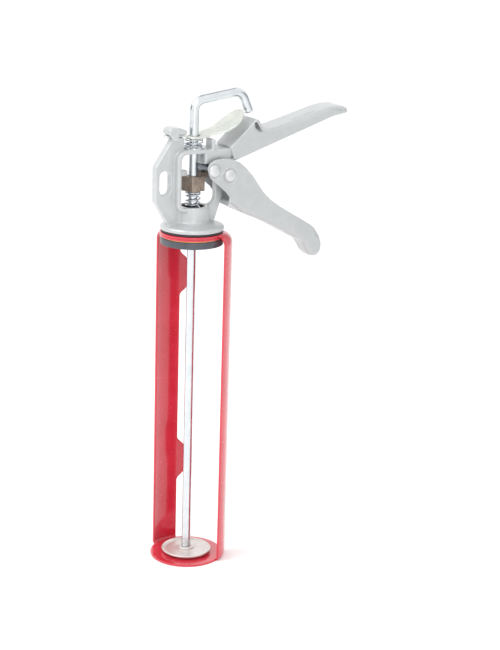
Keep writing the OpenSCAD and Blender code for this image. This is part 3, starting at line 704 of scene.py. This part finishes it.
# ---- springs ----
def coil(radius, wire, turns, low, high):
    """Round wire wound about the rod, its end turns lying close and the rest evenly spread."""
    t = np.linspace(0, turns, int(turns * 48) + 1)
    rise = (high - low - 3 * wire) / (turns - 2)
    z = np.where(t < 1, wire * t, np.where(t > turns - 1, high - low - wire - wire * (turns - t),
                                           wire + rise * (t - 1)))
    a = 2 * math.pi * t
    return tube(np.stack([radius * np.cos(a), radius * np.sin(a), low + wire / 2 + z], 1), wire / 2, 12)


back_spring, front_spring = span("return_spring"), span("release_spring")
block = span("drive_block")
coils = piece("block_spring", coil(4.8, 1.0, 6, back_spring[0][2], back_spring[1][2]), "body", spring_wire,
              ["return_spring"])
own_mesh(coils)
coils = piece("lever_spring", coil(6.0, 0.75, 3.25, front_spring[0][2], front_spring[1][2]), "body",
              spring_wire,
              ["release_spring"])
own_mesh(coils)


# ---- drive block, sleeve and rivets ----
def sintered_block():
    """Pressed block on the rod, turned a little about it, with a raised nose under the sleeve and a small
    notch."""
    low, top = block[0][2], block[1][2]
    turn = math.radians(16)

    def field(x, y, z):
        u, v = x * math.cos(turn) + y * math.sin(turn), y * math.cos(turn) - x * math.sin(turn)
        shape = brick(u, v, z, (-5.7, -5.7, low), (5.7, 5.7, top - 1.8), 0.45)
        nose = brick(u, v, z, (3.0, -3.0, top - 4.2), (11.5, 3.0, top), 0.6)
        shape = joined(shape, nose, 0.5)
        shape = without(shape, np.hypot(x, y) - ROD_HOLE, 0.5)
        return without(shape, np.maximum(np.hypot(u - 2.4, z - low) - 1.3, v + 4.1), 0.3)

    return skin(field, [-7.4, -7.4, low], [11.6, 7.4, top], 0.24)


piece("block", sintered_block(), "block", sintered, ["drive_block"])


def domed_rivet(at, shank, width):
    """Rivet across the tool: a profile of radius and reach turned about its own axis, a low dome at each
    end."""
    dome = [[4.1, 0.0], [4.1, 0.35], [3.7, 0.85], [2.9, 1.3], [1.6, 1.6], [0.4, 1.7], [0.02, 1.7]]
    dome = bent(dome, 0.6, 4)
    right = np.stack([dome[:, 0], dome[:, 1] + width / 2], 1)
    profile = np.vstack([[[shank, -width / 2], [shank, width / 2]], right])
    left = np.stack([dome[::-1, 0], -dome[::-1, 1] - width / 2], 1)
    profile = np.vstack([left, profile])
    a = np.linspace(0, 2 * math.pi, 64, endpoint=False)[:, None]
    r, reach = profile[:, 0], profile[:, 1]
    points = np.stack([at[0] + r * np.cos(a), reach + 0 * a, at[1] + r * np.sin(a)], -1).reshape(-1, 3)
    faces = grid_faces(64, len(profile), loop_rows=True, loop_columns=False)
    return points, faces


piece("pivot_pin", domed_rivet(PIVOT, 2.44, RIVET_WIDTH + 0.1), "body", rivet_steel, ["pivot_rivet"])
piece("drive_pin", domed_rivet(DRIVE, 1.99, RIVET_WIDTH), "trigger", rivet_steel, ["drive_rivet"])
dress("drive_sleeve", dark_steel)
dress("pivot_bushes", dark_steel)
dress("spring_cup", black_washer)
dress("spring_seat", plated_bend)

# ---- floor, light and camera ----
floor = bpy.data.objects.new("floor", bpy.data.meshes.new("floor"))
floor.data.from_pydata([(-40, -40, 0), (40, -40, 0), (40, 40, 0), (-40, 40, 0)], [], [(0, 1, 2, 3)])
bpy.context.scene.collection.objects.link(floor)
pale = bpy.data.materials.new("pale floor")
pale.use_nodes = True
pale.node_tree.nodes["Principled BSDF"].inputs["Base Color"].default_value = (0.98, 0.98, 0.98, 1)
pale.node_tree.nodes["Principled BSDF"].inputs["Roughness"].default_value = 0.9
floor.data.materials.append(pale)


def lamp(name, place, aim, size, power):
    """Soft white light, a rectangle at a place in metres, turned to a point."""
    data = bpy.data.lights.new(name, "AREA")
    data.shape, data.size, data.size_y = "RECTANGLE", *size
    data.energy = power
    light = bpy.data.objects.new(name, data)
    away = np.array(place, float) - np.array(aim, float)
    away /= np.linalg.norm(away)
    right = np.cross([0, 0, 1], away)
    right /= np.linalg.norm(right)
    turn = Matrix(np.column_stack([right, np.cross(away, right), away]).tolist()).to_4x4()
    turn.translation = place
    light.matrix_world = turn
    bpy.context.scene.collection.objects.link(light)


lamp("top softbox", (-0.9, 0.1, 1.3), (0, 0, 0.25), (0.9, 0.9), 9)
lamp("front strip", (-0.45, -1.4, 0.6), (0.0, 0, 0.22), (0.12, 1.2), 2.5)

world = bpy.data.worlds.new("studio")
world.use_nodes = True
world.node_tree.nodes["Background"].inputs["Color"].default_value = (1, 1, 1, 1)
world.node_tree.nodes["Background"].inputs["Strength"].default_value = 1.18


def dark_cards(tree, directions):
    """Dark cards hung round the tent, in pairs on opposite sides: where the size of the dot product with
    one of the directions passes from its outer to its inner limit, the light falls to a quarter. Plated
    rods show them as thin dark lines."""
    nodes, link = tree.nodes, tree.links.new
    way = nodes.new("ShaderNodeTexCoord").outputs["Generated"]
    total = None
    for direction, outer, inner in directions:
        dot, size, card = (nodes.new(kind) for kind in ("ShaderNodeVectorMath", "ShaderNodeMath",
                                                        "ShaderNodeMapRange"))
        dot.operation, size.operation = "DOT_PRODUCT", "ABSOLUTE"
        dot.inputs[1].default_value = direction
        link(way, dot.inputs[0])
        link(dot.outputs["Value"], size.inputs[0])
        card.interpolation_type = "SMOOTHSTEP"
        for socket, number in zip(("From Min", "From Max", "To Min", "To Max"), (outer, inner, 1.0, 0.25)):
            card.inputs[socket].default_value = number
        link(size.outputs[0], card.inputs["Value"])
        if total:
            both_cards = nodes.new("ShaderNodeMath")
            both_cards.operation = "MULTIPLY"
            link(total, both_cards.inputs[0])
            link(card.outputs["Result"], both_cards.inputs[1])
            total = both_cards.outputs[0]
        else:
            total = card.outputs["Result"]
    link(total, nodes["Background"].inputs["Color"])


dark_cards(world.node_tree, [((0.875, -0.485, 0), 0.88, 0.94), ((0.16, 0.29, 0.94), 0.955, 0.98)])
bpy.context.scene.world = world
bpy.context.scene.view_settings.view_transform = "Standard"

azimuth, elevation, tilt = math.radians(-29), math.radians(16.056), math.radians(1.714)
ahead = np.array([-math.sin(azimuth) * math.cos(elevation), math.cos(azimuth) * math.cos(elevation),
                  -math.sin(elevation)])
flat_right = np.array([math.cos(azimuth), math.sin(azimuth), 0])
flat_up = np.cross(flat_right, ahead)
place = np.array([0, 0, 0.231]) + 0.04088 * flat_right - 0.05863 * flat_up - 1.07785 * ahead
right = math.cos(tilt) * flat_right + math.sin(tilt) * flat_up
up = math.cos(tilt) * flat_up - math.sin(tilt) * flat_right
camera = bpy.data.objects.new("camera", bpy.data.cameras.new("camera"))
camera.data.sensor_width, camera.data.lens = 36, 88.62
pose = Matrix(np.column_stack([right, up, -ahead]).tolist()).to_4x4()
pose.translation = place
camera.matrix_world = pose
bpy.context.scene.collection.objects.link(camera)
bpy.context.scene.camera = camera
